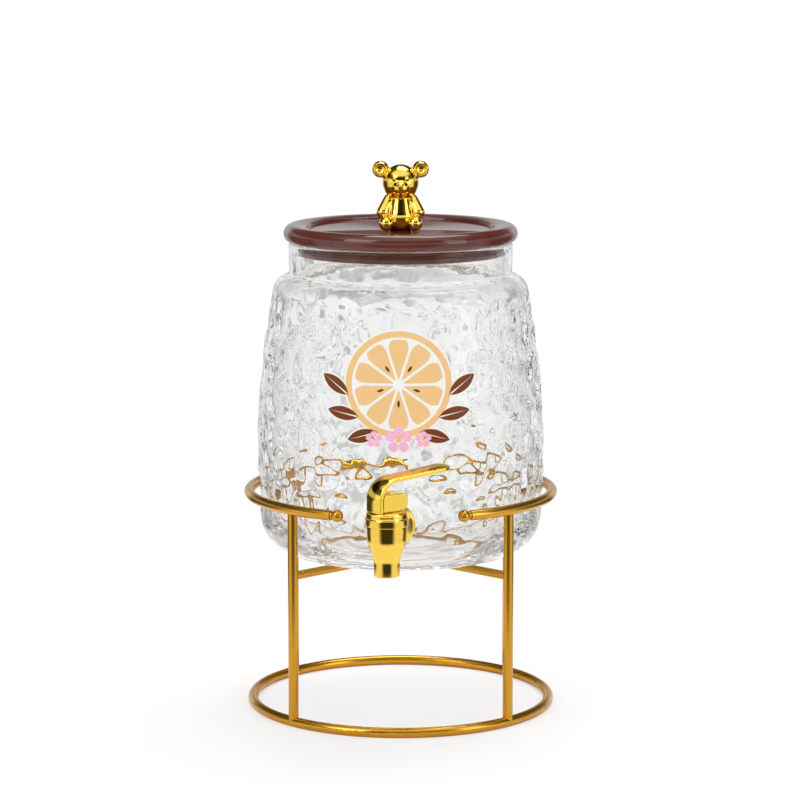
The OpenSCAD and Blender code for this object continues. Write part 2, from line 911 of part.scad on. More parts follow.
// A seated teddy bear, measured from the dish's floor and looking towards -Y
module bear() {
    hip_z = 0.75 * seat_r;
    chest_z = hip_z + 1.1 * seat_r;
    chest_r = 0.66 * seat_r;
    head_z = chest_z + 0.95 * head_r;
    foot_r = 0.46 * seat_r;
    limb([0, 0, hip_z], [0, 0, chest_z], seat_r, chest_r);
    translate([0, 0, head_z])
        sphere(head_r);
    translate([0, -0.78 * head_r, head_z - 0.24 * head_r])
        sphere(0.46 * head_r);
    translate([0, -1.2 * head_r, head_z - 0.12 * head_r])
        sphere(0.14 * head_r);
    for (side = [-1, 1]) {
        difference() {
            translate([side * 1.1 * head_r, 0, head_z + 0.72 * head_r])
                sphere(ear_r);
            translate([side * 1.14 * head_r, -1.02 * ear_r, head_z + 0.74 * head_r])
                sphere(0.78 * ear_r);
        }
        translate([side * 0.36 * head_r, -0.88 * head_r, head_z + 0.24 * head_r])
            sphere(0.1 * head_r);
        limb([side * 0.74 * seat_r, -0.1 * seat_r, chest_z], [side * 1.1 * seat_r, -0.5 * seat_r, 1.1 * seat_r],
            0.35 * seat_r, 0.4 * seat_r);
        limb([side * 0.6 * seat_r, -0.3 * seat_r, foot_r], [side * 0.9 * seat_r, -1.25 * seat_r, foot_r],
            0.42 * seat_r, foot_r - 0.05);
    }
}

module finial() {
    color(plated_gold)
        translate([0, 0, dish_z])
            difference() {
                bear();
                translate([0, 0, -seat_r])
                    cylinder(r = 3 * seat_r, h = seat_r);
                translate([0, 0, -1])
                    cylinder(r = screw_r + run_gap, h = screw_reach + 2);
            }
}

module finial_washer() {
    color(steel)
        translate([0, 0, sink_top_z - pin_washer_t - seat_gap])
            difference() {
                cylinder(r = pin_washer_r, h = pin_washer_t);
                translate([0, 0, -1])
                    cylinder(r = screw_r + screw_room, h = pin_washer_t + 2);
            }
}

// Pan head with a cross recess
module finial_screw() {
    head_z = sink_top_z - pin_washer_t - 2 * seat_gap - screw_head_h;
    color(steel)
        difference() {
            union() {
                translate([0, 0, head_z])
                    cylinder(r = screw_head_r, h = screw_head_h);
                translate([0, 0, head_z])
                    cylinder(r = screw_r, h = dish_z + screw_reach - head_z);
            }
            for (turn = [0, 90])
                rotate([0, 0, turn])
                    translate([-screw_r, -screw_r / 6, head_z - 1])
                        cube([screw_d, screw_r / 3, 1 + screw_head_h / 2]);
        }
}

base_ring();
top_ring();
left_ball_end();
right_ball_end();
front_left_leg();
front_right_leg();
rear_left_leg();
rear_right_leg();
cross_bar();
front_half_bar();
rear_half_bar();
glass_jar();
front_decal();
tap_body();
outer_washer();
inner_washer();
shank_nut();
bonnet();
stem_seal();
return_spring();
seat_cup();
valve_stem();
lever();
lid();
lid_seal();
finial();
finial_screw();
finial_washer();
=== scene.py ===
"""Looks of a glass drink dispenser: hammered glass, plated tap, lacquered lid and wire stand."""

import json
import math

import bmesh
import bpy
from bpy.props import FloatProperty, FloatVectorProperty, IntProperty, PointerProperty
from bpy.types import Operator, Panel, PropertyGroup, Scene
from mathutils import Matrix, Vector

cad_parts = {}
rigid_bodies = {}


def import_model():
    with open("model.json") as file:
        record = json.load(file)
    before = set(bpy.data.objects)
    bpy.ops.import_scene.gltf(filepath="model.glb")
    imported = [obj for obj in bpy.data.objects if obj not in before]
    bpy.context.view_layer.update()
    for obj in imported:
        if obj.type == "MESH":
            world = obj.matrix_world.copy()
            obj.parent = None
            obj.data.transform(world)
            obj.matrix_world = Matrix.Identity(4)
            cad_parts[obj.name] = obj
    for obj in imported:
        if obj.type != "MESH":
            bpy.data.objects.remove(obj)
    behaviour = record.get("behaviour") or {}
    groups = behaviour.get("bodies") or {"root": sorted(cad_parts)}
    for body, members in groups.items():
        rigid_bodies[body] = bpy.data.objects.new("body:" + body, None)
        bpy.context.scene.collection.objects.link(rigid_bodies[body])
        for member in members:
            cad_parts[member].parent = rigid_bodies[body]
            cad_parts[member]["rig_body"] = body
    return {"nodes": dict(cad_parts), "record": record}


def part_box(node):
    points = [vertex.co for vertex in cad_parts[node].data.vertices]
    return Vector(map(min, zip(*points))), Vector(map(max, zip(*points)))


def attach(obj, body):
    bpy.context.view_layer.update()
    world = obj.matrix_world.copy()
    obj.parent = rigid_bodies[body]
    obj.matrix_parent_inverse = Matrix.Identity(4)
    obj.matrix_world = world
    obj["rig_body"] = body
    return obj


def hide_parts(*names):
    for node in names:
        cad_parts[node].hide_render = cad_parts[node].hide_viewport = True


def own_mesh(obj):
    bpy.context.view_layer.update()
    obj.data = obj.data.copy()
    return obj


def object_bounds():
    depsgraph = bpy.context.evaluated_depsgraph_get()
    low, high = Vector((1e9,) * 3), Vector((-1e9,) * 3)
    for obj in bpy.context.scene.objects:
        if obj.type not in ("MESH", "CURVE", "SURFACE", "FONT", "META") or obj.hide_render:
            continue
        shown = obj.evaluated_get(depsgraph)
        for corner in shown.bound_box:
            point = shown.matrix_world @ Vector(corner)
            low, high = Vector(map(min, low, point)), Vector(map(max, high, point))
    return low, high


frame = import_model()
CAD_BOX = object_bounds()

bl_info = {
    "name": "Glass Drink Dispenser",
    "version": (1, 0, 0),
    "blender": (4, 5, 0),
    "location": "View3D > Sidebar > Dispenser",
    "description": "Dresses the dispenser's CAD model with glass, plating, print and lacquer",
    "category": "Object",
}

JAR_LOW, JAR_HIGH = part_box("glass_jar")
FILM_LOW, FILM_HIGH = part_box("front_decal")
BONNET_LOW, BONNET_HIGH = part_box("bonnet")
NUT_LOW, NUT_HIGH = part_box("shank_nut")
TAP_AXIS = (BONNET_LOW + BONNET_HIGH) / 2
NUT_MIDDLE = (NUT_LOW + NUT_HIGH) / 2
UP = Vector((0, 0, 1))
WHITE = (1, 1, 1, 1)
DONE = {"FINISHED"}

# Materials made so far, by finish
MADE = {}

# Meshes: merge distances in metres, counts, and angles in degrees
CAD_MERGE = 2e-6
INK_MERGE = 1e-6
SLIVER = 1e-7
ROUND_SIDES = 96
EDGE_STEPS = 3
EDGE_ANGLE = 35
CRISP = 40
WIRE_CRISP = 75
ALL_SMOOTH = 180
WIRE_ROUNDING = 2

# Jar: mesh spacing on the fillet, in steps, and on the rim, in its radii; hole's depth, in walls
FILLET_STEP = 0.5
RIM_STEP = 0.25
HOLE_WALLS = 4

# Hammered pattern: where a dimple runs out, in spacings, and shares of its depth and of the fade
CELL_REACH = 0.66
CELL_SCATTER = 0.9
LEAST_DEPTH = 0.55
DEPTH_SPREAD = 0.9
WAVE_DEPTH = 0.35
CLEAR_EDGE = 0.4

# Print: rows and columns of each motif's mesh, and shares of the sizes that it is drawn from
PATCHES = {
    "rind": (4, 128), "segment": (14, 8), "pip": (8, 4),
    "leaf": (12, 3), "petal": (10, 6), "heart": (3, 24),
}
SEGMENT_START = 2.2
PIP_LOW, PIP_HIGH, PIP_WIDTH = 0.34, 0.52, 1.5
HEART_RADIUS = 0.2
INK_BODY = 0.9

# What glass and gold see, as (place, level) pairs: a rise runs from straight down at 0 to straight
# up at 1, a turn from the back at 0 to the front at 1, and panels follow a noise
PALE_PANELS = ((0.36, 0.4), (0.46, 0.86), (0.54, 1.0))
STARK_PANELS = ((0.42, 0.02), (0.48, 0.7), (0.53, 1.0))
GLASS_RISE = ((0.0, 1.0), (0.53, 1.0), (0.61, 0.55), (0.78, 0.5), (0.9, 1.0))
GOLD_TURN = (
    (0.0, 0.55), (0.03, 0.6), (0.06, 0.9), (0.14, 0.06),
    (0.42, 0.08), (0.56, 1.0), (0.87, 1.0), (0.94, 0.05),
)
GOLD_RISE = (
    (0.0, 0.8), (0.5, 0.8), (0.53, 1.0), (0.62, 1.0),
    (0.68, 0.1), (0.8, 0.08), (0.88, 1.0),
)
STRIP_RISE = ((0.5, 0.0), (0.53, 0.9), (0.63, 0.9), (0.67, 0.0))
STRIP_TURN = ((0.08, 0.0), (0.16, 0.6), (0.5, 0.6), (0.8, 1.0))
GOLD_GAIN = (1.2, 1.2, 1.2, 1)

# Floor: share of white glow laid over it at the object, painted light that lightens the object's
# shadow there, radii over which this glow and the mirrored studio fade in, height from which the
# studio is seen, and white mixed into what glass passes on
FLOOR_GLOW = 0.55
GLOW_FADE = (0.2, 0.7)
MIRROR_FADE = (0.26, 0.42)
LOOK_HEIGHT = 0.15
GLASS_VEIL = 0.2

# Lamps: place, width and height in metres
LAMPS = {
    "key": ((-1.3, -1.3, 1.5), 1.1, 1.1),
    "fill": ((1.5, -1.0, 0.8), 0.7, 1.3),
    "top": ((0.2, 0.5, 1.9), 1.2, 1.0),
}
SENSOR_WIDTH = 36

# Colour sockets of a Mix node, and the socket that suits a value's type
MIX_A, MIX_B, MIX_RESULT = 6, 7, 2
SOCKETS = {int: "NodeSocketInt", float: "NodeSocketFloat", tuple: "NodeSocketVector"}


def setting(kind, **fixed):
    """A maker of one kind of setting for a property group."""

    def make(name, description, default):
        return kind(name=name, description=description, default=default, **fixed)

    return make


length = setting(FloatProperty, unit="LENGTH", precision=5)
share = setting(FloatProperty, precision=3)
power = setting(FloatProperty, unit="POWER")
focal = setting(FloatProperty, unit="CAMERA")
count = setting(IntProperty)
colour = setting(FloatVectorProperty, size=3, subtype="COLOR", min=0, max=1)


def angle(name, description, degrees):
    """An angle for a property group, given in degrees."""
    return setting(FloatProperty, unit="ROTATION")(name, description, math.radians(degrees))


class DispenserJar(PropertyGroup):
    """Sizes of the glass and of its hammered pattern"""

    belly_radius: length("Girth radius", "Outer radius at the girth", (JAR_HIGH.x - JAR_LOW.x) / 2)
    belly_rise: length("Girth rise", "Height of the girth above the base", 0.0605)
    barrel_radius: length("Barrel radius", "Radius of the long side curve", 0.48)
    shoulder_rise: length("Shoulder rise", "Height of the shoulder above the base", 0.1655)
    shoulder_radius: length("Shoulder radius", "Radius of the rounded shoulder", 0.011)
    neck_radius: length("Neck radius", "Outer radius of the neck", 0.0656)
    neck_fillet: length("Neck fillet", "Fillet where the neck meets the shoulder", 0.0025)
    heel_radius: length("Heel radius", "Radius of the rounded heel", 0.024)
    wall: length("Wall", "Thickness of the side wall", 0.0038)
    neck_wall: length("Neck wall", "Thickness of the neck's wall", 0.0034)
    base: length("Base", "Thickness of the base", 0.0085)
    boss_radius: length("Boss radius", "Radius of the flat boss behind the tap", 0.0155)
    boss_sink: length("Boss sink", "How deep the boss reaches into the wall", 0.0035)
    hole_radius: length("Hole radius", "Radius of the hole for the tap's shank", 0.008)
    dimple_size: length("Dimple size", "Spacing of the hammered dimples", 0.013)
    dimple_depth: length("Dimple depth", "Depth of a full dimple", 0.0018)
    ridge_softness: share("Ridge softness", "How far the dimples' ridges are rounded", 0.32)
    hammer_low: length("Hammered from", "Height above the base where the dimples begin", 0.016)
    hammer_high: length("Hammered to", "Height above the base where the dimples end", 0.158)
    hammer_fade: length("Hammer fade", "Height over which the dimples fade", 0.014)
    panel_radius: length("Print panel", "Radius of the smooth print panel", 0.045)
    around: count("Around", "Mesh columns round the jar", 400)
    fine_step: length("Fine step", "Mesh spacing on the hammered side", 0.00125)
    coarse_step: length("Coarse step", "Mesh spacing on smooth faces", 0.005)


class DispenserPrint(PropertyGroup):
    """Sizes of the fruit print on the front of the jar"""

    slice_radius: length("Slice radius", "Radius of the fruit slice", 0.031)
    border: length("Border", "White border left round the inks", 0.001)
    rind: length("Rind", "Width of the slice's rind", 0.0034)
    pith: length("Pith", "Width of the white pith", 0.0015)
    segments: count("Segments", "Segments of the fruit slice", 10)
    leaves: count("Leaves", "Leaves of the laurel on each side", 3)
    leaf_length: length("Leaf length", "Length of the laurel's leaves", 0.02)
    leaf_width: length("Leaf width", "Width of the laurel's leaves", 0.0095)
    leaf_start: angle("Leaf start", "Place of the lowest leaf round the slice", -68)
    leaf_step: angle("Leaf step", "Turn from leaf to leaf", 27)
    leaf_splay: angle("Leaf splay", "How far a leaf leans out", 38)
    petals: count("Petals", "Petals of a blossom", 5)
    blossom_radius: length("Blossom radius", "Radius of the middle blossom", 0.0085)
    side_blossom: share("Side blossom", "Size of the side blossoms against the middle one", 0.64)
    turn: angle("Turn", "Turn of the print from straight ahead", -0.8)
    film: length("Film", "Height of the white film's face above the glass", 0.00025)
    ink: length("Ink", "Thickness of one layer of ink", 0.00004)


class DispenserLever(PropertyGroup):
    """Sizes of the lever's strap, from the cross bar that it turns on"""

    bend_radius: length("Bend radius", "Outer radius of the strap's bend", 0.014)
    bend_along: length("Bend along", "Bend's centre from the stem's axis", 0.0035)
    bend_rise: length("Bend rise", "Bend's centre above the cross bar", 0.0018)
    paddle_climb: angle("Paddle climb", "Climb of the paddle to its tip", 4.4)
    reach: length("Reach", "Paddle's tip from the stem's axis", 0.0425)
    tip_radius: length("Tip radius", "Radius of the paddle's round tip", 0.0076)
    dome: length("Dome", "Fall of the outer face to its edges", 0.0016)
    grain: length("Grain", "Spacing of the lever's smooth mesh", 0.0003)
    polish: count("Polish", "Rounds of smoothing on the lever", 7)


class DispenserEdges(PropertyGroup):
    """Widths of the rounded edges, and the smooth cast of the knob"""

    tap_body: length("Tap body", "Rounding of the tap body's edges", 0.0004)
    bonnet: length("Bonnet", "Rounding of the bonnet's edges", 0.0003)
    shank_nut: length("Shank nut", "Rounding of the nut's edges", 0.0004)
    lid: length("Lid", "Rounding of the lid's edges", 0.0005)
    bear_grain: length("Bear grain", "Spacing of the bear's smooth mesh", 0.00036)
    bear_polish: count("Bear polish", "Rounds of smoothing on the bear", 5)


class DispenserFinish(PropertyGroup):
    """Colours of the dispenser's finishes"""

    satin_gold: colour("Satin gold", "Lacquer on the wire stand", (0.62, 0.31, 0.03))
    plated_gold: colour("Plated gold", "Plating on the tap and the knob", (0.95, 0.64, 0.1))
    glass: colour("Glass", "Tint of the clear glass", (0.94, 0.945, 0.94))
    glint: colour("Glint", "Strength of the glass's reflections", (0.35, 0.35, 0.35))
    lacquer: colour("Lacquer", "Reddish brown lacquer on the lid", (0.115, 0.027, 0.017))
    lacquer_dark: colour("Dark grain", "Grain under the lid's lacquer", (0.08, 0.017, 0.01))
    silicone: colour("Silicone", "Washers and valve cup", (0.8, 0.8, 0.77))
    seal: colour("Lid seal", "Brown silicone of the lid's seal", (0.11, 0.026, 0.015))
    rubber: colour("Rubber", "Seal round the valve's stem", (0.02, 0.02, 0.02))
    steel: colour("Steel", "Spring, screw and washer", (0.62, 0.62, 0.64))
    film: colour("White film", "White border and pith of the print", (0.93, 0.92, 0.89))
    tan: colour("Tan ink", "Rind, segments and blossoms' hearts", (0.89, 0.575, 0.255))
    brown: colour("Brown ink", "Leaves and pips", (0.19, 0.046, 0.01))
    pink: colour("Pink ink", "Blossoms", (0.94, 0.5, 0.78))


class DispenserStage(PropertyGroup):
    """Camera and light"""

    lens: focal("Lens", "Focal length in millimetres", 141.9)
    shift: share("Shift", "Sideways shift of the picture", -0.0008)
    camera_back: length("Camera back", "Distance of the camera from the jar's axis", 1.8408)
    camera_height: length("Camera height", "Height of the camera above the table", 0.4715)
    pitch: angle("Pitch", "Downward tilt of the camera", 8.946)
    floor_size: length("Floor size", "Radius of the round floor", 9.0)
    floor: colour("Floor", "Pale floor", (0.92, 0.92, 0.92))
    sky: share("Sky", "Level of the plain light from all round", 0.58)
    key: power("Key", "Power of the key lamp", 13)
    fill: power("Fill", "Power of the fill lamp", 6)
    top: power("Top", "Power of the top lamp", 18)
    bounces: count("Bounces", "Light bounces for the thick base", 40)


def arithmetic(operation, flipped=False):
    """A method that adds a Math node; flipped puts the other value first."""

    def method(self, other):
        values = (other, self) if flipped else (self, other)
        settings = {"operation": operation}
        return self.graph.node("ShaderNodeMath", dict(enumerate(values)), settings)

    return method


class Wire:
    """An output socket of a graph; Python arithmetic on it adds Math nodes."""

    def __init__(self, graph, socket):
        self.graph = graph
        self.socket = socket

    __add__ = __radd__ = arithmetic("ADD")
    __sub__ = arithmetic("SUBTRACT")
    __rsub__ = arithmetic("SUBTRACT", flipped=True)
    __mul__ = __rmul__ = arithmetic("MULTIPLY")
    __truediv__ = arithmetic("DIVIDE")
    __rtruediv__ = arithmetic("DIVIDE", flipped=True)
    __pow__ = arithmetic("POWER")
    at_most = arithmetic("MINIMUM")


class Graph:
    """A node tree with one way of adding any node."""

    def __init__(self, tree, material=None):
        self.tree = tree
        self.material = material

    def node(self, kind, inputs=(), settings=(), output=0):
        node = self.tree.nodes.new(kind)
        for name, value in dict(settings).items():
            if name == "stops":
                self.fill_ramp(node.color_ramp, value)
            else:
                setattr(node, name, value)
        for name, value in dict(inputs).items():
            if isinstance(value, Wire):
                self.tree.links.new(value.socket, node.inputs[name])
            else:
                node.inputs[name].default_value = value
        return Wire(self, node.outputs[output]) if node.outputs else None

    @staticmethod
    def fill_ramp(ramp, stops):
        for place, _ in stops[2:]:
            ramp.elements.new(place)
        for element, (place, level) in zip(ramp.elements, stops):
            element.position = place
            element.color = (level, level, level, 1)

    def place(self):
        """Object coordinates, in metres."""
        return self.node("ShaderNodeTexCoord", output="Object")

    def stretched(self, scale):
        """Object coordinates, stretched by a scale for each axis."""
        return self.node("ShaderNodeMapping", {"Vector": self.place(), "Scale": scale})

    def axes(self, vector):
        """The three numbers of a vector."""
        split = self.node("ShaderNodeSeparateXYZ", {0: vector}).socket.node
        return [Wire(self, socket) for socket in split.outputs]

    def vector(self, operation, inputs, output=0):
        """Vector arithmetic."""
        return self.node("ShaderNodeVectorMath", inputs, {"operation": operation}, output)

    def noise(self, vector, scale, detail=2.0, roughness=0.5):
        sockets = {"Vector": vector, "Scale": scale, "Detail": detail, "Roughness": roughness}
        return self.node("ShaderNodeTexNoise", sockets)

    def ease(self, value, low, high):
        """A smooth step from 0 at low to 1 at high."""
        sockets = {"Value": value, "From Min": low, "From Max": high}
        return self.node("ShaderNodeMapRange", sockets, {"interpolation_type": "SMOOTHSTEP"})

    def ramp(self, value, stops):
        """A grey that follows a value through (place, level) pairs."""
        return self.node("ShaderNodeValToRGB", {0: value}, {"stops": stops}, "Color")

    def mix(self, factor, a, b, blend="MIX"):
        """A colour between a and b."""
        settings = {"data_type": "RGBA", "blend_type": blend}
        return self.node("ShaderNodeMix", {0: factor, MIX_A: a, MIX_B: b}, settings, MIX_RESULT)

    def times(self, a, b):
        """Two colours multiplied."""
        return self.mix(1.0, a, b, "MULTIPLY")

    def lightest(self, a, b):
        """The lighter of two colours."""
        return self.mix(1.0, a, b, "LIGHTEN")

    def varied(self, factor, tone, low, high):
        """A colour that runs from a darker to a lighter level of one tone."""
        return self.mix(factor, toned(tone, low), toned(tone, high))

    def bump(self, height, strength, distance):
        sockets = {"Height": height, "Strength": strength, "Distance": distance}
        return self.node("ShaderNodeBump", sockets)

    def surface(self, sockets):
        """Closes a material with one principled shader."""
        shader = self.node("ShaderNodeBsdfPrincipled", sockets)
        self.node("ShaderNodeOutputMaterial", {"Surface": shader})
        return self.material


def toned(tone, level):
    """A colour made lighter or darker, with an alpha for a socket."""
    return (*(min(1.0, part * level) for part in tone), 1.0)


def new_material(name, tone):
    """The graph of an empty material; tone is what a plain viewport shows."""
    material = bpy.data.materials.new(name)
    material.use_nodes = True
    material.diffuse_color = toned(tone, 1)
    material.node_tree.nodes.clear()
    return Graph(material.node_tree, material)


def coated(name, tone, levels, rough, cloud, grain, bump, fixed=()):
    """A finish with clouds of tone and a fine grain; rough is a level and what these add to it."""
    graph = new_material(name, tone)
    cloud = graph.noise(graph.place(), *cloud)
    grain = graph.noise(graph.place(), *grain)
    level, by_cloud, by_grain = rough
    return graph.surface({
        "Base Color": graph.varied(cloud, tone, *levels),
        "Roughness": level + by_cloud * cloud + by_grain * grain,
        "Normal": graph.bump(grain, *bump),
        **dict(fixed),
    })


def satin_gold_finish(finish):
    """Gold lacquer on drawn rod: a fine satin grain with soft clouds of tone."""
    looks = {"cloud": (38, 3), "grain": (2400, 2), "bump": (0.05, 0.0002)}
    looks["fixed"] = {"Metallic": 0.86}
    return coated("satin_gold", finish.satin_gold, (0.86, 1.12), (0.13, 0.05, 0.05), **looks)


def plated_gold_finish(finish):
    """Bright plating on moulded parts: mirror gloss with a faint ripple and hazy patches."""
    looks = {"cloud": (85, 2), "grain": (150, 1), "bump": (0.05, 0.001)}
    looks["fixed"] = {"Metallic": 1.0}
    return coated("plated_gold", finish.plated_gold, (0.94, 1.03), (0.035, 0.06, 0.0), **looks)


def glass_finish(finish):
    """Clear pressed glass with a faint waviness on its smooth faces."""
    graph = new_material("clear_glass", finish.glass)
    wave = graph.noise(graph.place(), 75)
    return graph.surface({
        "Base Color": toned(finish.glass, 1),
        "Roughness": 0.0,
        "IOR": 1.5,
        "Specular Tint": toned(finish.glint, 1),
        "Transmission Weight": 1.0,
        "Normal": graph.bump(wave, strength=0.1, distance=0.002),
    })


def lacquer_finish(finish):
    """Turned wood under reddish gloss lacquer, its grain along X."""
    graph = new_material("lacquered_wood", finish.lacquer)
    bend = graph.noise(graph.place(), 14)
    streak = graph.noise(graph.stretched((9, 150, 150)), 1.0, detail=5, roughness=0.6)
    pore = graph.noise(graph.stretched((60, 1400, 1400)), 1.0)
    grain = graph.ease(streak + 0.25 * bend, low=0.45, high=0.85)
    base = graph.mix(grain, toned(finish.lacquer, 1.12), toned(finish.lacquer_dark, 1.15))
    pores = graph.ease(pore, low=0.62, high=0.75) * 0.4
    return graph.surface({
        "Base Color": graph.mix(pores, base, toned(finish.lacquer_dark, 1)),
        "Roughness": 0.3 + 0.12 * pore,
        "Specular IOR Level": 0.1,
        "Coat Weight": 0.75 + 0.15 * bend,
        "Coat Roughness": 0.025,
        "Normal": graph.bump(streak, strength=0.04, distance=0.0006),
    })


def silicone(name, tone, sheen):
    """Silicone with a soft bloom."""
    looks = {"cloud": (320, 3), "grain": (320, 3), "bump": (0.05, 0.0003)}
    soft = {"Subsurface Weight": 0.25, "Subsurface Radius": (0.003, 0.003, 0.0025)}
    soft["Specular IOR Level"] = sheen
    return coated(name, tone, (0.92, 1.05), (0.42, 0.16, 0.0), **looks, fixed=soft)


def milky_silicone_finish(finish):
    """Pale silicone of the washers and the valve cup."""
    return silicone("milky_silicone", finish.silicone, sheen=0.5)


def brown_silicone_finish(finish):
    """Dull brown silicone of the lid's seal."""
    return silicone("seal_silicone", finish.seal, sheen=0.12)


def rubber_finish(finish):
    """Matt black rubber."""
    looks = {"cloud": (1800, 2), "grain": (1800, 2), "bump": (0.08, 0.0002)}
    return coated("black_rubber", finish.rubber, (0.8, 1.6), (0.55, 0.2, 0.0), **looks)


def steel_finish(finish):
    """Bright zinc with fine turning marks."""
    graph = new_material("zinc_steel", finish.steel)
    mark = graph.noise(graph.stretched((300, 300, 6000)), 1.0)
    return graph.surface({
        "Base Color": graph.varied(mark, finish.steel, 0.85, 1.08),
        "Metallic": 1.0,
        "Roughness": 0.2 + 0.15 * mark,
        "Normal": graph.bump(mark, strength=0.05, distance=0.0001),
    })


def ink_finish(name, tone):
    """Screen-printed ink: an even coat with a faint mesh and thin spots."""
    looks = {"cloud": (240, 3), "grain": (3200, 1), "bump": (0.04, 0.0001)}
    dull = {"Specular IOR Level": 0.2}
    return coated(name, tone, (0.96, 1.03), (0.38, 0.0, 0.12), **looks, fixed=dull)


def shared(maker, context):
    """The material of a finish, made the first time it is asked for."""
    name = maker.__name__
    if name not in MADE:
        MADE[name] = maker(context.scene.dispenser_finish)
    return MADE[name]


def link_mesh(name, mesh):
    """Puts a mesh in the scene as an object at the origin."""
    obj = bpy.data.objects.new(name, mesh)
    bpy.context.scene.collection.objects.link(obj)
    return obj


def from_points(name, points, faces):
    """An object from points and faces."""
    mesh = bpy.data.meshes.new(name)
    mesh.from_pydata(points, [], faces)
    return link_mesh(name, mesh)


def from_work(name, work):
    """An object from an edit mesh, which is then freed."""
    mesh = bpy.data.meshes.new(name)
    work.to_mesh(mesh)
    work.free()
    return link_mesh(name, mesh)


def baked_mesh(obj):
    """Turns what an object's modifiers make into its own plain mesh."""
    depsgraph = bpy.context.evaluated_depsgraph_get()
    mesh = bpy.data.meshes.new_from_object(obj.evaluated_get(depsgraph))
    obj.modifiers.clear()
    obj.data = mesh
    mesh.name = obj.name
    return obj


def shade(obj, material, sharp=CRISP):
    """Smooth shading that stays crisp at edges sharper than an angle in degrees."""
    mesh = obj.data
    mesh.materials.clear()
    mesh.materials.append(material)
    mesh.polygons.foreach_set("use_smooth", [True] * len(mesh.polygons))
    mesh.polygons.foreach_set("material_index", [0] * len(mesh.polygons))
    mesh.set_sharp_from_angle(angle=math.radians(sharp))
    return obj


def body_of(node):
    """The body that a CAD node rides on."""
    return frame["nodes"][node]["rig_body"]


def stand_in(obj, node):
    """Lets a piece stand for a CAD node, on that node's body."""
    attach(obj, body_of(node))
    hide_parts(node)


def paint_node(node, material):
    """Gives a CAD node that keeps its shape a finish."""
    for material_slot in frame["nodes"][node].material_slots:
        material_slot.material = material


def merged_copy(node, name):
    """A copy of a CAD node whose loose triangles are joined."""
    work = bmesh.new()
    work.from_mesh(frame["nodes"][node].data)
    bmesh.ops.remove_doubles(work, verts=work.verts, dist=CAD_MERGE)
    points = [vertex.co.copy() for vertex in work.verts]
    work.verts.index_update()
    faces = [[vertex.index for vertex in face.verts] for face in work.faces]
    work.free()
    return from_points(name, points, faces)


def softened(node, name, width, material):
    """A copy of a CAD node with its sharp edges rounded."""
    obj = merged_copy(node, name)
    bevel = obj.modifiers.new("edges", "BEVEL")
    bevel.width = width
    bevel.segments = EDGE_STEPS
    bevel.limit_method = "ANGLE"
    bevel.angle_limit = math.radians(EDGE_ANGLE)
    bevel.miter_outer = "MITER_ARC"
    shade(baked_mesh(obj), material)
    stand_in(obj, node)


def cast(obj, grain, polish):
    """Turns a mesh into one even skin of quads, its edges smoothed by rounds of polish."""
    remesh = obj.modifiers.new("cast", "REMESH")
    remesh.mode = "VOXEL"
    remesh.voxel_size = grain
    smooth = obj.modifiers.new("polish", "SMOOTH")
    smooth.factor = 0.5
    smooth.iterations = polish
    return baked_mesh(obj)


def node_group(name, values):
    """A geometry node tree with an input for each value; returns its graph and the wires."""
    tree = bpy.data.node_groups.new(name, "GeometryNodeTree")
    tree.interface.new_socket("Geometry", in_out="INPUT", socket_type="NodeSocketGeometry")
    for label, value in values.items():
        tree.interface.new_socket(label, in_out="INPUT", socket_type=SOCKETS[type(value)])
    tree.interface.new_socket("Geometry", in_out="OUTPUT", socket_type="NodeSocketGeometry")
    graph = Graph(tree)
    entry = graph.node("NodeGroupInput").socket.node
    return graph, [Wire(graph, socket) for socket in entry.outputs if socket.name]


def close_group(graph, geometry, material):
    """Ends a geometry node tree with real, painted geometry."""
    real = graph.node("GeometryNodeRealizeInstances", {0: geometry})
    sockets = {"Geometry": real, "Material": material}
    painted = graph.node("GeometryNodeSetMaterial", sockets)
    graph.node("NodeGroupOutput", {0: painted})


def run_group(obj, graph, values):
    """Runs a geometry node tree on an object and keeps the plain mesh."""
    modifier = obj.modifiers.new(graph.tree.name, "NODES")
    modifier.node_group = graph.tree
    for item in graph.tree.interface.items_tree:
        if item.in_out == "INPUT" and item.name in values:
            modifier[item.identifier] = values[item.name]
    return baked_mesh(obj)


def arc(centre, radius, start, end, step):
    """Points on an arc of the half outline, at most a step apart."""
    parts = max(2, math.ceil(abs(end - start) * radius / step))
    turns = [start + (end - start) * i / parts for i in range(parts + 1)]
    return [(centre[0] + radius * math.cos(t), centre[1] + radius * math.sin(t)) for t in turns]


def straight(a, b, step):
    """Points between a and b, without b, at most a step apart."""
    parts = max(1, math.ceil(math.dist(a, b) / step))
    along = [i / parts for i in range(parts)]
    return [(a[0] + (b[0] - a[0]) * t, a[1] + (b[1] - a[1]) * t) for t in along]


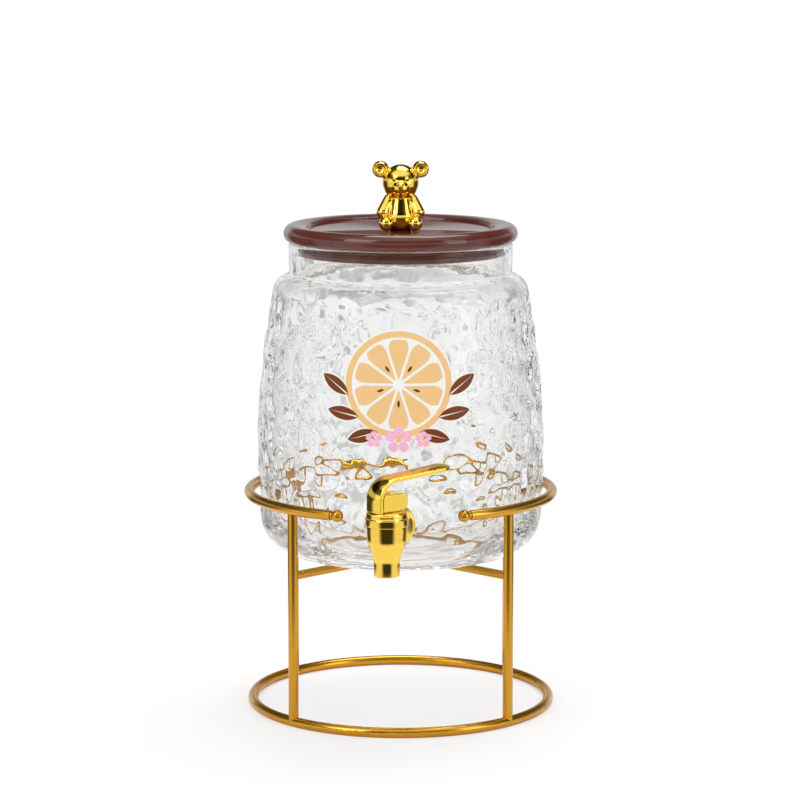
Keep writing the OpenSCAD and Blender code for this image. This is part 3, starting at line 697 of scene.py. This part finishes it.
def barrel_side(jar, inset, floor, neck, step):
    """Half outline from floor to neck: heel, barrel, shoulder and fillet as tangent arcs."""
    belly_z = JAR_LOW.z + jar.belly_rise
    barrel_x = jar.belly_radius - jar.barrel_radius
    shoulder_z = JAR_LOW.z + jar.shoulder_rise - jar.shoulder_radius
    reach = jar.barrel_radius - jar.shoulder_radius
    shoulder_x = barrel_x + math.sqrt(reach**2 - (shoulder_z - belly_z) ** 2)
    side = jar.barrel_radius - inset
    heel = jar.heel_radius - inset
    heel_z = floor + heel
    heel_x = barrel_x + math.sqrt((side - heel) ** 2 - (heel_z - belly_z) ** 2)
    heel_end = math.atan2(heel_z - belly_z, heel_x - barrel_x)
    barrel_end = math.atan2(shoulder_z - belly_z, shoulder_x - barrel_x)
    shoulder = jar.shoulder_radius - inset
    fillet = jar.neck_fillet + jar.neck_radius - neck
    across = max(0.0, neck + fillet - shoulder_x)
    fillet_z = shoulder_z + math.sqrt((shoulder + fillet) ** 2 - across**2)
    shoulder_end = math.atan2(fillet_z - shoulder_z, across)
    fillet_start = shoulder_end + math.pi
    return (
        arc((heel_x, heel_z), heel, -math.pi / 2, heel_end, step)[:-1]
        + arc((barrel_x, belly_z), side, heel_end, barrel_end, step)[:-1]
        + arc((shoulder_x, shoulder_z), shoulder, barrel_end, shoulder_end, step)[:-1]
        + arc((neck + fillet, fillet_z), fillet, fillet_start, math.pi, step * FILLET_STEP)
    )


def jar_outline(jar):
    """Half outline of the jar from the base's middle to the floor's, and its outer part's range."""
    rim_radius = jar.neck_wall / 2
    rim_z = JAR_HIGH.z - rim_radius
    rim_centre = (jar.neck_radius - rim_radius, rim_z)
    inner_neck = jar.neck_radius - jar.neck_wall
    floor = JAR_LOW.z + jar.base
    outer = barrel_side(jar, 0, JAR_LOW.z, jar.neck_radius, jar.fine_step)
    inner = barrel_side(jar, jar.wall, floor, inner_neck, jar.coarse_step)
    under = straight((0, JAR_LOW.z), outer[0], jar.coarse_step)
    neck = straight(outer[-1], (jar.neck_radius, rim_z), jar.coarse_step)[1:]
    rim = arc(rim_centre, rim_radius, 0, math.pi, rim_radius * RIM_STEP)
    bore = straight(rim[-1], inner[-1], jar.coarse_step)[1:]
    inside = straight(inner[0], (0, floor), jar.coarse_step)[1:]
    points = under + outer + neck + rim + bore + inner[::-1] + inside + [(0, floor)]
    return points, range(len(under), len(under) + len(outer))


def revolve(name, outline, around):
    """A closed mesh turned from a half outline that starts and ends on the axis, row by row."""
    points = [(0, 0, outline[0][1])]
    turns = [2 * math.pi * i / around for i in range(around)]
    for radius, z in outline[1:-1]:
        points += [(radius * math.cos(t), radius * math.sin(t), z) for t in turns]
    points.append((0, 0, outline[-1][1]))
    rows = len(outline) - 2
    last = len(points) - 1
    faces = []
    for i in range(around):
        j = (i + 1) % around
        faces.append((0, 1 + j, 1 + i))
        for row in range(rows - 1):
            low, high = 1 + row * around, 1 + (row + 1) * around
            faces.append((low + i, low + j, high + j, high + i))
        top = 1 + (rows - 1) * around
        faces.append((top + i, top + j, last))
    return from_points(name, points, faces)


def hammer_group(values, material):
    """Nodes that press rounded dimples into the outer face, away from the print and the tap."""
    graph, wires = node_group("Hammered Glass", values)
    geometry, size, depth, softness, low, high, fade, *clear = wires
    place = graph.node("GeometryNodeInputPosition")
    outside = graph.node("GeometryNodeInputNamedAttribute", {"Name": "outside"})
    height = graph.axes(place)[2]
    mask = graph.ease(height, low, low + fade) * (1 - graph.ease(height, high - fade, high))
    mask = mask * outside
    for middle, radius in zip(clear[::2], clear[1::2]):
        gap = graph.vector("DISTANCE", {0: place, 1: middle}, "Value")
        mask = mask * graph.ease(gap, radius - fade * CLEAR_EDGE, radius + fade * CLEAR_EDGE)
    sockets = {
        "Vector": place,
        "Scale": 1 / size,
        "Smoothness": softness,
        "Randomness": CELL_SCATTER,
    }
    cells = graph.node("ShaderNodeTexVoronoi", sockets, {"feature": "SMOOTH_F1"}, "Distance")
    bowl = 1 - (cells / CELL_REACH).at_most(1.0) ** 2
    uneven = LEAST_DEPTH + DEPTH_SPREAD * graph.noise(place, 34, detail=1)
    wave = graph.noise(place, 26, detail=1) * WAVE_DEPTH * outside
    press = depth * (bowl * mask * uneven + wave)
    normal = graph.node("GeometryNodeInputNormal")
    offset = graph.vector("SCALE", {0: normal, "Scale": press * -1})
    sockets = {"Geometry": geometry, "Offset": offset}
    close_group(graph, graph.node("GeometryNodeSetPosition", sockets), material)
    return graph


def tap_rod(name, radius, start, end):
    """A round bar along the tap's shank, between two distances from the jar's axis."""
    work = bmesh.new()
    sizes = {"radius1": radius, "radius2": radius, "depth": abs(end - start)}
    bmesh.ops.create_cone(work, cap_ends=True, segments=ROUND_SIDES, **sizes)
    outward = Vector((TAP_AXIS.x, TAP_AXIS.y, 0)).normalized()
    middle = outward * (start + end) / 2 + Vector((0, 0, NUT_MIDDLE.z))
    turn = UP.rotation_difference(outward).to_matrix().to_4x4()
    bmesh.ops.transform(work, matrix=Matrix.Translation(middle) @ turn, verts=work.verts)
    return from_work(name, work)


def combine(obj, tool, operation):
    """Joins or cuts an object with a tool, which is then removed."""
    boolean = obj.modifiers.new(operation, "BOOLEAN")
    boolean.operation = operation
    boolean.solver = "MANIFOLD"
    boolean.object = tool
    baked_mesh(obj)
    bpy.data.objects.remove(tool)


class DISPENSER_OT_stand(Operator):
    """Lacquers the wire stand"""

    bl_idname = "dispenser.stand"
    bl_label = "Wire Stand"

    def execute(self, context):
        material = shared(satin_gold_finish, context)
        for node in frame["nodes"]:
            if body_of(node) == "stand":
                paint_node(node, material)
        return DONE


class DISPENSER_OT_jar(Operator):
    """Makes the hammered glass jar with its boss and tap hole"""

    bl_idname = "dispenser.jar"
    bl_label = "Hammered Jar"

    def execute(self, context):
        jar = context.scene.dispenser_jar
        material = shared(glass_finish, context)
        outline, outer = jar_outline(jar)
        obj = revolve("hammered_jar", outline, jar.around)
        outside = obj.data.attributes.new("outside", "FLOAT", "POINT")
        first = 1 + (outer.start - 1) * jar.around
        last = 1 + (outer.stop - 1) * jar.around
        flags = [1.0 if first <= i < last else 0.0 for i in range(len(obj.data.vertices))]
        outside.data.foreach_set("value", flags)
        film_x = (FILM_LOW.x + FILM_HIGH.x) / 2
        film_z = (FILM_LOW.z + FILM_HIGH.z) / 2
        boss_face = -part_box("outer_washer")[1].y
        values = {
            "Dimple Size": jar.dimple_size,
            "Dimple Depth": jar.dimple_depth,
            "Ridge Softness": jar.ridge_softness,
            "Low": JAR_LOW.z + jar.hammer_low,
            "High": JAR_LOW.z + jar.hammer_high,
            "Fade": jar.hammer_fade,
            "Print Middle": (film_x, FILM_LOW.y, film_z),
            "Print Clear": jar.panel_radius,
            "Tap Middle": (TAP_AXIS.x * boss_face / -TAP_AXIS.y, -boss_face, NUT_MIDDLE.z),
            "Tap Clear": jar.boss_radius + jar.hammer_fade * CLEAR_EDGE,
        }
        run_group(obj, hammer_group(values, material), values)
        boss = tap_rod("boss", jar.boss_radius, boss_face, boss_face - jar.boss_sink)
        combine(obj, boss, "UNION")
        hole_start, hole_end = boss_face + jar.wall, boss_face - HOLE_WALLS * jar.wall
        combine(obj, tap_rod("hole", jar.hole_radius, hole_start, hole_end), "DIFFERENCE")
        shade(obj, material)
        stand_in(obj, "glass_jar")
        return DONE


def flat_patch(name, shape):
    """A flat patch in the XZ plane from shape(s, t), with s and t from 0 to 1."""
    rows, columns = PATCHES[name]
    points = []
    for i in range(rows + 1):
        for j in range(columns + 1):
            x, z = shape(i / rows, j / columns)
            points.append((x, 0, z))
    wide = columns + 1
    faces = [
        (i * wide + j, i * wide + j + 1, (i + 1) * wide + j + 1, (i + 1) * wide + j)
        for i in range(rows)
        for j in range(columns)
    ]
    return from_points(name, points, faces)


def ring_shape(inner, outer):
    """A whole ring between two radii."""

    def shape(s, t):
        radius = inner + (outer - inner) * s
        return radius * math.cos(2 * math.pi * t), radius * math.sin(2 * math.pi * t)

    return shape


def segment_shape(inner, outer, half_turn, gap):
    """A fruit segment pointing up: straight sides a gap from its neighbours, and a rounded back."""
    round_from, round_span, round_depth = 0.7, 0.3, 0.62

    def shape(s, t):
        radius = inner + (outer - inner) * s
        half = max(0.0, radius * math.sin(half_turn) - gap / 2)
        round_off = max(0.0, (s - round_from) / round_span)
        half *= math.sqrt(max(0.0, 1 - round_depth * round_off**2))
        side = half * (2 * t - 1)
        return side, math.sqrt(max(0.0, radius**2 - side**2))

    return shape


def drop_shape(low, high, width):
    """A pip pointing down: round above and drawn to a point below."""
    power, foot = 0.8, 0.45

    def shape(s, t):
        swell = foot + (1 - foot) * s
        half = width / 2 * math.sin(math.pi * s**power) * swell
        return half * (2 * t - 1), low + (high - low) * s

    return shape


def leaf_shape(art, around, hand, side):
    """Half a leaf of the laurel, on one side of its midrib; hand mirrors it to the left with -1."""
    span = art.leaf_length - 2 * art.border
    width = art.leaf_width - 2 * art.border
    midrib = art.pith / 3
    bow = (span**2 / 4 + width**2 / 4) / width
    tuck = art.slice_radius - art.leaf_width / 4
    lean = around + math.pi / 2 - art.leaf_splay

    def shape(s, t):
        along = span * s
        chord = math.sqrt(max(0.0, bow**2 - (along - span / 2) ** 2))
        edge = max(0.0, chord - bow + width / 2)
        low = min(midrib * (1 - s), edge)
        across = side * (low + (edge - low) * t)
        along += art.border
        x = tuck * math.cos(around) + along * math.cos(lean) - across * math.sin(lean)
        z = tuck * math.sin(around) + along * math.sin(lean) + across * math.cos(lean)
        return hand * x, z

    return shape


def petal_shape(radius):
    """A round petal that reaches up from the blossom's heart, closed at its tip."""
    low, span, wide, widest = 0.24, 0.72, 0.34, 1.12

    def shape(s, t):
        bulge = 1 - (2 * s - widest) ** 2 / widest**2
        half = wide * radius * math.sqrt(max(0.0, bulge)) if s < 1 else 0.0
        return half * (2 * t - 1), radius * (low + span * s)

    return shape


def print_group(values, material):
    """Nodes that copy a flat motif round a middle and lay the copies on the jar's barrel."""
    graph, wires = node_group("Print Layer", values)
    motif, copies, start, step, middle, girth, girth_height, barrel, lift, turn = wires
    spots = graph.node("GeometryNodeMeshLine", {"Count": copies, "Offset": (0, 0, 0)})
    index = graph.node("GeometryNodeInputIndex")
    spin = graph.node("ShaderNodeCombineXYZ", {"Y": start + index * step})
    sockets = {"Points": spots, "Instance": motif, "Rotation": spin}
    flat = graph.node("GeometryNodeInstanceOnPoints", sockets)
    flat = graph.node("GeometryNodeRealizeInstances", {0: flat})
    flat = graph.node("GeometryNodeSetPosition", {"Geometry": flat, "Offset": middle})
    x, _, z = graph.axes(graph.node("GeometryNodeInputPosition"))
    rise = z - girth_height
    curve = barrel + lift
    radius = (curve * curve - rise * rise) ** 0.5 + girth - barrel
    depth = (radius * radius - x * x) ** 0.5 * -1
    wrapped = graph.node("ShaderNodeCombineXYZ", {"X": x, "Y": depth, "Z": z})
    laid = graph.node("GeometryNodeSetPosition", {"Geometry": flat, "Position": wrapped})
    turned = graph.node("GeometryNodeTransform", {"Geometry": laid, "Rotation": turn})
    close_group(graph, turned, material)
    return graph


def thickened(obj, depth):
    """Turns a motif's faces outwards and gives it a closed body below them."""
    work = bmesh.new()
    work.from_mesh(obj.data)
    bmesh.ops.remove_doubles(work, verts=work.verts, dist=INK_MERGE)
    bmesh.ops.dissolve_degenerate(work, edges=work.edges, dist=SLIVER)
    work.normal_update()
    inward = [f for f in work.faces if f.normal.xy.dot(f.calc_center_median().xy) < 0]
    bmesh.ops.reverse_faces(work, faces=inward)
    work.to_mesh(obj.data)
    work.free()
    body = obj.modifiers.new("body", "SOLIDIFY")
    body.thickness = depth
    body.offset = -1
    return baked_mesh(obj)


def joined(name, pieces, material):
    """One piece from several meshes."""
    work = bmesh.new()
    for piece in pieces:
        work.from_mesh(piece.data)
        bpy.data.objects.remove(piece)
    return shade(from_work(name, work), material)


class DISPENSER_OT_print(Operator):
    """Prints the fruit slice, its laurel and its blossoms on the white film"""

    bl_idname = "dispenser.print"
    bl_label = "Front Print"

    def execute(self, context):
        jar = context.scene.dispenser_jar
        art = context.scene.dispenser_print
        finish = context.scene.dispenser_finish
        paint_node("front_decal", ink_finish("white_film", finish.film))
        names = ("tan", "brown", "pink")
        inks = {name: ink_finish(name + "_ink", getattr(finish, name)) for name in names}
        layers = {name: [] for name in names}
        slice_z = FILM_HIGH.z - art.slice_radius

        def lay(ink, motif, x, z, copies=1, start=0.0, step=0.0, coat=1):
            values = {
                "Copies": copies,
                "Start": start,
                "Step": step,
                "Middle": (x, 0.0, z),
                "Girth Radius": jar.belly_radius,
                "Girth Height": JAR_LOW.z + jar.belly_rise,
                "Barrel Radius": jar.barrel_radius,
                "Lift": art.film + coat * art.ink,
                "Turn": (0.0, 0.0, art.turn),
            }
            laid = run_group(motif, print_group(values, inks[ink]), values)
            layers[ink].append(thickened(laid, coat * art.ink * INK_BODY))

        edge = art.slice_radius - art.border
        flesh = edge - art.rind - art.pith
        turn = 2 * math.pi / art.segments
        lay("tan", flat_patch("rind", ring_shape(edge - art.rind, edge)), 0, slice_z)
        segment = segment_shape(art.pith * SEGMENT_START, flesh, turn / 2, art.pith)
        lay("tan", flat_patch("segment", segment), 0, slice_z, art.segments, step=turn)
        pip = flat_patch("pip", drop_shape(flesh * PIP_LOW, flesh * PIP_HIGH, art.pith * PIP_WIDTH))
        lay("brown", pip, 0, slice_z, art.segments // 2, start=turn, step=2 * turn, coat=2)

        for hand in (1, -1):
            for i in range(art.leaves):
                around = art.leaf_start + i * art.leaf_step
                for side in (1, -1):
                    leaf = flat_patch("leaf", leaf_shape(art, around, hand, side))
                    lay("brown", leaf, 0, slice_z, coat=2)

        flower_z = slice_z - art.slice_radius
        reach = art.blossom_radius * (1 + art.side_blossom)
        turn = 2 * math.pi / art.petals
        for x, size in ((0, 1), (reach, art.side_blossom), (-reach, art.side_blossom)):
            radius = art.blossom_radius * size - art.border / 2
            petal = flat_patch("petal", petal_shape(radius))
            lay("pink", petal, x, flower_z, art.petals, step=turn, coat=3)
            heart = flat_patch("heart", ring_shape(0.0, radius * HEART_RADIUS))
            lay("tan", heart, x, flower_z, coat=3)

        for name, pieces in layers.items():
            obj = joined("print_" + name, pieces, inks[name])
            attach(obj, body_of("front_decal"))
        return DONE


def joint_row(name):
    """The record's row for a joint."""
    return next(row for row in frame["record"]["behaviour"]["joints"] if row["name"] == name)


def dome_strap(obj, lever):
    """Presses the strap's outer face into a dome along its upright, bend and paddle."""
    joint = joint_row("lever_tilt")
    across = Vector(joint["axis"]).normalized()
    along = across.cross(UP)
    rise = Vector((0, 0, lever.bend_rise))
    centre = Vector(joint["pos_m"]) + along * lever.bend_along + rise
    tip_start = lever.reach - lever.tip_radius - lever.bend_along
    for vertex in obj.data.vertices:
        gap = vertex.co - centre
        x, side, z = gap.dot(along), gap.dot(across), gap.z
        turn = math.pi if x < 0 and z < 0 else math.atan2(z, x)
        turn = max(turn, math.pi / 2 + lever.paddle_climb)
        out = along * math.cos(turn) + Vector((0, 0, math.sin(turn)))
        off = math.hypot(max(0.0, x - tip_start), side) / lever.tip_radius
        over = gap.dot(out) - (lever.bend_radius - lever.dome * off**2)
        if over > 0:
            vertex.co -= out * over


class DISPENSER_OT_tap(Operator):
    """Plates the tap and finishes its seals and valve"""

    bl_idname = "dispenser.tap"
    bl_label = "Lever Tap"

    def execute(self, context):
        gold = shared(plated_gold_finish, context)
        edges = context.scene.dispenser_edges
        for node in ("tap_body", "bonnet", "shank_nut"):
            softened(node, "plated_" + node, getattr(edges, node), gold)
        lever = context.scene.dispenser_lever
        strap = cast(merged_copy("lever", "plated_lever"), lever.grain, 0)
        dome_strap(strap, lever)
        shade(cast(strap, lever.grain, lever.polish), gold, ALL_SMOOTH)
        stand_in(strap, "lever")
        paint_node("valve_stem", gold)
        for node in ("outer_washer", "inner_washer", "seat_cup"):
            paint_node(node, shared(milky_silicone_finish, context))
        paint_node("stem_seal", shared(rubber_finish, context))
        spring = merged_copy("return_spring", "coil_spring")
        spring.modifiers.new("round", "SUBSURF").levels = WIRE_ROUNDING
        shade(baked_mesh(spring), shared(steel_finish, context), WIRE_CRISP)
        stand_in(spring, "return_spring")
        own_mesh(spring)
        return DONE


class DISPENSER_OT_lid(Operator):
    """Lacquers the turned lid and finishes its seal and fixings"""

    bl_idname = "dispenser.lid"
    bl_label = "Turned Lid"

    def execute(self, context):
        width = context.scene.dispenser_edges.lid
        lacquer = shared(lacquer_finish, context)
        softened("lid", "lacquered_lid", width, lacquer)
        paint_node("lid_seal", shared(brown_silicone_finish, context))
        for node in ("finial_screw", "finial_washer"):
            paint_node(node, shared(steel_finish, context))
        return DONE


class DISPENSER_OT_finial(Operator):
    """Casts the seated bear knob as one smooth plated piece"""

    bl_idname = "dispenser.finial"
    bl_label = "Bear Knob"

    def execute(self, context):
        edges = context.scene.dispenser_edges
        obj = cast(merged_copy("finial", "plated_bear"), edges.bear_grain, edges.bear_polish)
        shade(obj, shared(plated_gold_finish, context), ALL_SMOOTH)
        stand_in(obj, "finial")
        return DONE


def soft_lamp(name, place, target, width, height, energy):
    """A large soft lamp at a place, turned to a target, that no camera sees."""
    light = bpy.data.lights.new(name, "AREA")
    light.shape = "RECTANGLE"
    light.size = width
    light.size_y = height
    light.energy = energy
    obj = bpy.data.objects.new(name, light)
    obj.location = place
    obj.rotation_euler = (Vector(target) - Vector(place)).to_track_quat("-Z", "Y").to_euler()
    obj.visible_camera = False
    bpy.context.scene.collection.objects.link(obj)


def ray_kinds(graph):
    """1 for each ray kind: the camera's, those mirrored by gold and those passed on by glass."""
    path = graph.node("ShaderNodeLightPath").socket.node
    kinds = ("Camera", "Glossy", "Transmission")
    return [Wire(graph, path.outputs[f"Is {kind} Ray"]) for kind in kinds]


def studio_look(graph, way):
    """What glass and gold see in a direction: panels, pale walls, a side strip and a top light."""
    x, y, z = graph.axes(way)
    rise = z * 0.5 + 0.5
    front = y * -0.5 + 0.5
    cloth = graph.noise(way, 7)
    corner = (2 * x * y / (x * x + y * y)) ** 2
    panels = graph.mix(corner, graph.ramp(cloth, PALE_PANELS), graph.ramp(cloth, STARK_PANELS))
    glass = graph.times(panels, graph.ramp(rise, GLASS_RISE))
    strip = graph.times(graph.ramp(rise, STRIP_RISE), graph.ramp(front, STRIP_TURN))
    around = graph.lightest(graph.ramp(front, GOLD_TURN), strip)
    gold = graph.times(graph.times(around, graph.ramp(rise, GOLD_RISE)), GOLD_GAIN)
    return glass, gold


def floor_finish(stage):
    """Pale floor that takes the object's shadow, lightened near the object by a painted white glow,
    and runs out into white; gold and glass rays see it glow with the studio.
    """
    graph = new_material("pale_floor", stage.floor)
    place = graph.place()
    x, y, _ = graph.axes(place)
    away = (x * x + y * y) ** 0.5
    camera, glossy, passed = ray_kinds(graph)
    mirrored = glossy * (1 - passed)
    # Painted light: near the object the floor glows white over its shadow and lightens it
    plain = FLOOR_GLOW + (1 - FLOOR_GLOW) * graph.ease(away, *GLOW_FADE)
    shown = (1 - mirrored) * plain + mirrored * graph.ease(away, *MIRROR_FADE)
    tooth = graph.noise(place, 30)
    sockets = {
        "Base Color": graph.varied(tooth, stage.floor, 0.99, 1.01),
        "Roughness": 0.9,
        "Specular IOR Level": 0.0,
    }
    matt = graph.node("ShaderNodeBsdfPrincipled", sockets)
    lifted = graph.vector("SUBTRACT", {0: place, 1: (0, 0, LOOK_HEIGHT)})
    glass, gold = studio_look(graph, graph.vector("NORMALIZE", {0: lifted}))
    veiled = graph.mix(GLASS_VEIL, glass, WHITE)
    tone = graph.mix(passed, graph.mix(glossy, WHITE, gold), veiled)
    # The floor's glow: white for the camera, the studio's look for gold and glass rays
    floor_glow = graph.node("ShaderNodeEmission", {"Color": tone, "Strength": 1.0})
    seen = (camera + glossy + passed).at_most(1.0)
    both = graph.node("ShaderNodeMixShader", {0: shown * seen, 1: matt, 2: floor_glow})
    graph.node("ShaderNodeOutputMaterial", {"Surface": both})
    return graph.material


def studio_world(stage):
    """Plain light from all round; gold and glass see the studio's panels and bands."""
    world = bpy.data.worlds.new("studio")
    world.use_nodes = True
    world.node_tree.nodes.clear()
    graph = Graph(world.node_tree)
    camera, glossy, passed = ray_kinds(graph)
    glass, gold = studio_look(graph, graph.node("ShaderNodeTexCoord", output="Generated"))
    level = (stage.sky, stage.sky, stage.sky, 1)
    lit = graph.mix(passed, graph.mix(glossy, level, gold), glass)
    sockets = {"Color": graph.mix(camera, lit, WHITE), "Strength": 1.0}
    background = graph.node("ShaderNodeBackground", sockets)
    graph.node("ShaderNodeOutputWorld", {"Surface": background})
    bpy.context.scene.world = world


class DISPENSER_OT_stage(Operator):
    """Sets the floor, the studio light and the camera"""

    bl_idname = "dispenser.stage"
    bl_label = "Stage"

    def execute(self, context):
        scene = context.scene
        stage = scene.dispenser_stage
        scene.view_settings.view_transform = "Standard"
        for kind in ("max_bounces", "transmission_bounces", "glossy_bounces"):
            setattr(scene.cycles, kind, stage.bounces)
        scene.cycles.blur_glossy = 0.0
        work = bmesh.new()
        bmesh.ops.create_circle(work, cap_ends=True, segments=ROUND_SIDES, radius=stage.floor_size)
        floor = shade(from_work("floor", work), floor_finish(stage))
        studio_world(stage)
        middle = (0, 0, CAD_BOX[1].z / 2)
        for name, (place, width, height) in LAMPS.items():
            soft_lamp(name + "_lamp", place, middle, width, height, getattr(stage, name))
        data = bpy.data.cameras.new("camera")
        data.lens = stage.lens
        data.sensor_width = SENSOR_WIDTH
        data.shift_x = stage.shift
        camera = bpy.data.objects.new("camera", data)
        camera.location = (0, -stage.camera_back, stage.camera_height)
        camera.rotation_euler = (math.pi / 2 - stage.pitch, 0, 0)
        scene.collection.objects.link(camera)
        scene.camera = camera
        return DONE


class DISPENSER_PT_panel(Panel):
    """Lists the dispenser's pieces and sizes"""

    bl_idname = "DISPENSER_PT_panel"
    bl_label = "Glass Drink Dispenser"
    bl_space_type = "VIEW_3D"
    bl_region_type = "UI"
    bl_category = "Dispenser"

    def draw(self, context):
        for operator in OPERATORS:
            self.layout.operator(operator.bl_idname)
        for name, group in GROUPS.items():
            box = self.layout.box()
            box.label(text=group.__doc__)
            for item in group.__annotations__:
                box.prop(getattr(context.scene, name), item)


GROUPS = {
    "dispenser_jar": DispenserJar,
    "dispenser_print": DispenserPrint,
    "dispenser_lever": DispenserLever,
    "dispenser_edges": DispenserEdges,
    "dispenser_finish": DispenserFinish,
    "dispenser_stage": DispenserStage,
}
OPERATORS = (
    DISPENSER_OT_stage,
    DISPENSER_OT_stand,
    DISPENSER_OT_jar,
    DISPENSER_OT_print,
    DISPENSER_OT_tap,
    DISPENSER_OT_lid,
    DISPENSER_OT_finial,
)


def register():
    for cls in (*GROUPS.values(), *OPERATORS, DISPENSER_PT_panel):
        bpy.utils.register_class(cls)
    for name, group in GROUPS.items():
        setattr(Scene, name, PointerProperty(type=group))


def unregister():
    for name in GROUPS:
        delattr(Scene, name)
    for cls in (DISPENSER_PT_panel, *reversed(OPERATORS), *GROUPS.values()):
        bpy.utils.unregister_class(cls)


def main():
    """Registers the add-on and builds every piece in order."""
    register()
    for operator in OPERATORS:
        group, name = operator.bl_idname.split(".")
        getattr(getattr(bpy.ops, group), name)()


if __name__ == "__main__":
    main()
